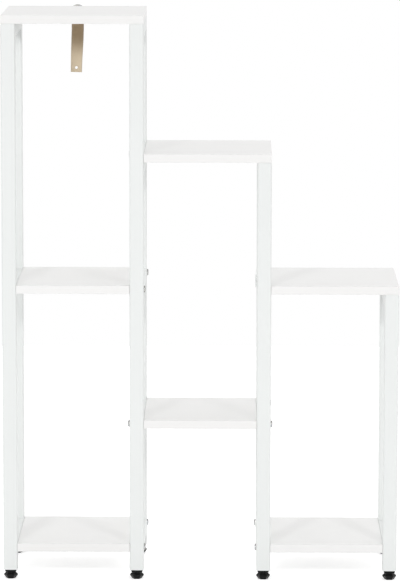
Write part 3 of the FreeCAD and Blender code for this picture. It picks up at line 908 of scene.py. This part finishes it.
def makeWebbing():
    # Ribbed weave that follows the strap's own flat map
    finish, tree, surface = newFinish("webbing")
    flat = addNode(tree, "ShaderNodeUVMap", uv_map="webbing").outputs[0]
    parts = addNode(tree, "ShaderNodeSeparateXYZ", {"Vector": flat}).outputs
    yarn = mathNode(tree, "SINE", mathNode(tree, "MULTIPLY", parts["X"], 2 * math.pi / strap["yarnPitch"]))
    rib = mathNode(tree, "SINE", mathNode(tree, "MULTIPLY", parts["Y"], 2 * math.pi / strap["ribPitch"]))
    weave = mathNode(tree, "MULTIPLY", yarn, rib)
    fibre = addNode(tree, "ShaderNodeMapping", {"Vector": flat, "Scale": weaveLook["fuzzScale"]}).outputs[0]
    fuzz = noise(tree, fibre, scale=1.0, detail=3.0)
    height = mathNode(tree, "MULTIPLY", weave, weaveLook["weaveHeight"])
    height = mathNode(tree, "MULTIPLY_ADD", fuzz, weaveLook["fuzzHeight"], height)
    colour = mixColour(tree, remap(tree, weave, -1.0, 1.0), weaveLook["valley"], weaveLook["crest"])
    fuzzShare = mathNode(tree, "MULTIPLY", fuzz, weaveLook["fuzzShare"])
    colour = mixColour(tree, fuzzShare, colour, weaveLook["fuzz"])
    # Painted shade on the strap's upper part under the top board, added to the lamps' real shadow there
    low, high = (share * strap["flat"][1] for share in weaveLook["paintedShadeShares"])
    paintedShade = remap(tree, parts["Y"], low, high, 1.0, 0.0, interpolation_type="SMOOTHSTEP")
    colour = mixColour(tree, paintedShade, colour, weaveLook["paintedShade"])
    aside = mathNode(tree, "ABSOLUTE", mathNode(tree, "SUBTRACT", parts["X"], strap["flat"][0] / 2))
    nearEdge = remap(tree, aside, *weaveLook["edgeEnds"], 0.0, weaveLook["edgeShare"])
    feed(tree, surface["Base Color"], mixColour(tree, nearEdge, colour, weaveLook["edge"]))
    surface["Roughness"].default_value = weaveLook["roughness"]
    surface["Specular IOR Level"].default_value = weaveLook["specular"]
    surface["Sheen Weight"].default_value = weaveLook["sheen"]
    surface["Sheen Roughness"].default_value = weaveLook["sheenRoughness"]
    feed(tree, surface["Normal"], bump(tree, height, weaveLook["depth"]))
    return finish


webbing = makeWebbing()


def makeStrap():
    piece = meshPiece("webbing_strap", buildStrap, sharpAngle=60)
    cutHole(piece, holeCutter(-strap["drop"] + strap["holeMargin"], strap["holeRadius"]))
    cutHole(piece, holeCutter(0, strap["screwHole"]))
    settle(piece, "strap", [webbing], ["anti_tip_strap"])


makeStrap()
print("strap made")


# Strap washer and pan-head screw
washer = {"round": 0.0003, "sides": 48, "bore": 0.00225}
screw = {
    "rim": 0.0006, "crown": 0.0030, "domeSteps": 6, "sides": 40, "shank": 0.003, "fit": 0.00005,
    "slot": 0.0010, "slotReach": 0.0022, "slotDepth": 0.0013, "slotTaper": 0.6,
}


def alongY(rings, name, seat):
    # Turns rings made round the Z axis so that their Z points to the back, from a seat on the node's own axis
    low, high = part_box(name)
    spot = Vector(((low.x + high.x) / 2, seat, (low.z + high.z) / 2))
    return [[spot + Vector((x, z, y)) for x, y, z in ring] for ring in rings]


def makeWasher():
    low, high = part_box("strap_washer")
    radius = (high.x - low.x) / 2
    lip = washer["round"]
    thick = high.y - low.y
    bore = washer["bore"]
    lower = [(bore, 0), (radius - lip, 0), (radius, lip)]
    upper = [(radius, thick - lip), (radius - lip, thick), (bore, thick)]

    def build(shape):
        rings = [circleRing(reach, height, washer["sides"]) for reach, height in lower + upper]
        loft(shape, alongY(rings + rings[:1], "strap_washer", low.y), closed=False)

    settle(meshPiece("zinc_washer", build), "stand", [brightZinc], ["strap_washer"])


def makeScrew():
    low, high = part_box("strap_screw")
    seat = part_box("strap_washer")[1].y
    height = high.y - seat
    radius = (high.x - low.x) / 2

    def build(shape):
        shank = washer["bore"] - screw["fit"]
        rings = [circleRing(shank, level, screw["sides"]) for level in (-screw["shank"], 0)]
        loft(shape, alongY(rings + domeRings(screw, radius, height), "strap_screw", seat))

    def buildCross(shape):
        wide = screw["slotReach"]
        thin = screw["slot"] / 2
        deep = screw["slotDepth"]
        arm = [(wide, -thin), (wide, thin), (thin, thin)]
        outline = []
        for quarter in range(4):
            outline += arm
            arm = [(-y, x) for x, y in arm]
        levels = ((screw["slotTaper"], height - deep), (1.0, height), (1.0, height + deep))
        rings = [[(x * share, y * share, level) for x, y in outline] for share, level in levels]
        loft(shape, alongY(rings, "strap_screw", seat))

    piece = meshPiece("pan_head_screw", build)
    cutHole(piece, meshPiece("crossCutter", buildCross))
    settle(piece, "stand", [brightZinc], ["strap_screw"])


makeWasher()
makeScrew()
print("strap fasteners made")


# Pale floor and soft studio light
stage = {"size": 5.0, "floor": 0.90, "roughness": 0.9, "seenGlow": 0.48}
tent = {"horizon": 1.16, "zenith": 0.68, "slope": 0.50, "below": 0.30}  # slope: brighter behind than in front
lamps = {
    "keyLeft": {"azimuth": -20, "reach": 3.5, "height": 1.75, "size": 0.35, "power": 27.6},
    "keyRight": {"azimuth": 26, "reach": 3.5, "height": 1.75, "size": 0.35, "power": 21.6},
}
lampAim = Vector((0, 0, 0.5))  # about half way up the stand


def seenShare(tree):
    # One for rays that reach the eye straight, by a mirror or through glass
    path = addNode(tree, "ShaderNodeLightPath").outputs
    seen = mathNode(tree, "ADD", path["Is Camera Ray"], path["Is Glossy Ray"], clamp=True)
    return mathNode(tree, "ADD", seen, path["Is Transmission Ray"], clamp=True)


def makeFloor():
    shape = bmesh.new()
    bmesh.ops.create_grid(shape, x_segments=1, y_segments=1, size=stage["size"] / 2)
    mesh = bpy.data.meshes.new("studioFloor")
    shape.to_mesh(mesh)
    shape.free()
    floor = newPiece("studioFloor", mesh)
    finish, tree, surface = newFinish("palePaper")
    surface["Base Color"].default_value = (stage["floor"],) * 3 + (1,)
    surface["Roughness"].default_value = stage["roughness"]
    surface["Specular IOR Level"].default_value = 0.0
    surface["Emission Color"].default_value = (1, 1, 1, 1)
    feed(tree, surface["Emission Strength"], mathNode(tree, "MULTIPLY", seenShare(tree), stage["seenGlow"]))
    mesh.materials.append(finish)


def makeWorld():
    # A white tent, dimmer in front and overhead, which seen rays meet as plain white
    world = bpy.data.worlds.new("studioTent")
    world.use_nodes = True
    bpy.context.scene.world = world
    tree = world.node_tree
    glow = tree.nodes["Background"].inputs
    glow["Color"].default_value = (1, 1, 1, 1)
    way = addNode(tree, "ShaderNodeTexCoord").outputs["Generated"]
    parts = addNode(tree, "ShaderNodeSeparateXYZ", {"Vector": way}).outputs
    level = remap(tree, parts["Z"], 0.0, 1.0, tent["horizon"], tent["zenith"])
    level = mathNode(tree, "MULTIPLY_ADD", parts["Y"], tent["slope"], level)
    under = mathNode(tree, "LESS_THAN", parts["Z"], 0.0)
    level = addNode(tree, "ShaderNodeMix", {0: under, 2: level, 3: tent["below"]}).outputs[0]
    seen = seenShare(tree)
    dimmed = mathNode(tree, "MULTIPLY", level, mathNode(tree, "SUBTRACT", 1.0, seen))
    feed(tree, glow["Strength"], mathNode(tree, "ADD", dimmed, seen))


def makeLamps():
    for name, lamp in lamps.items():
        data = bpy.data.lights.new(name, "AREA")
        data.shape = "DISK"
        data.size = lamp["size"]
        data.energy = lamp["power"]
        light = bpy.data.objects.new(name, data)
        turn = math.radians(lamp["azimuth"])
        light.location = (lamp["reach"] * math.sin(turn), -lamp["reach"] * math.cos(turn), lamp["height"])
        light.rotation_euler = (lampAim - light.location).to_track_quat("-Z", "Y").to_euler()
        bpy.context.scene.collection.objects.link(light)


makeFloor()
makeWorld()
makeLamps()
print("stage and light made")
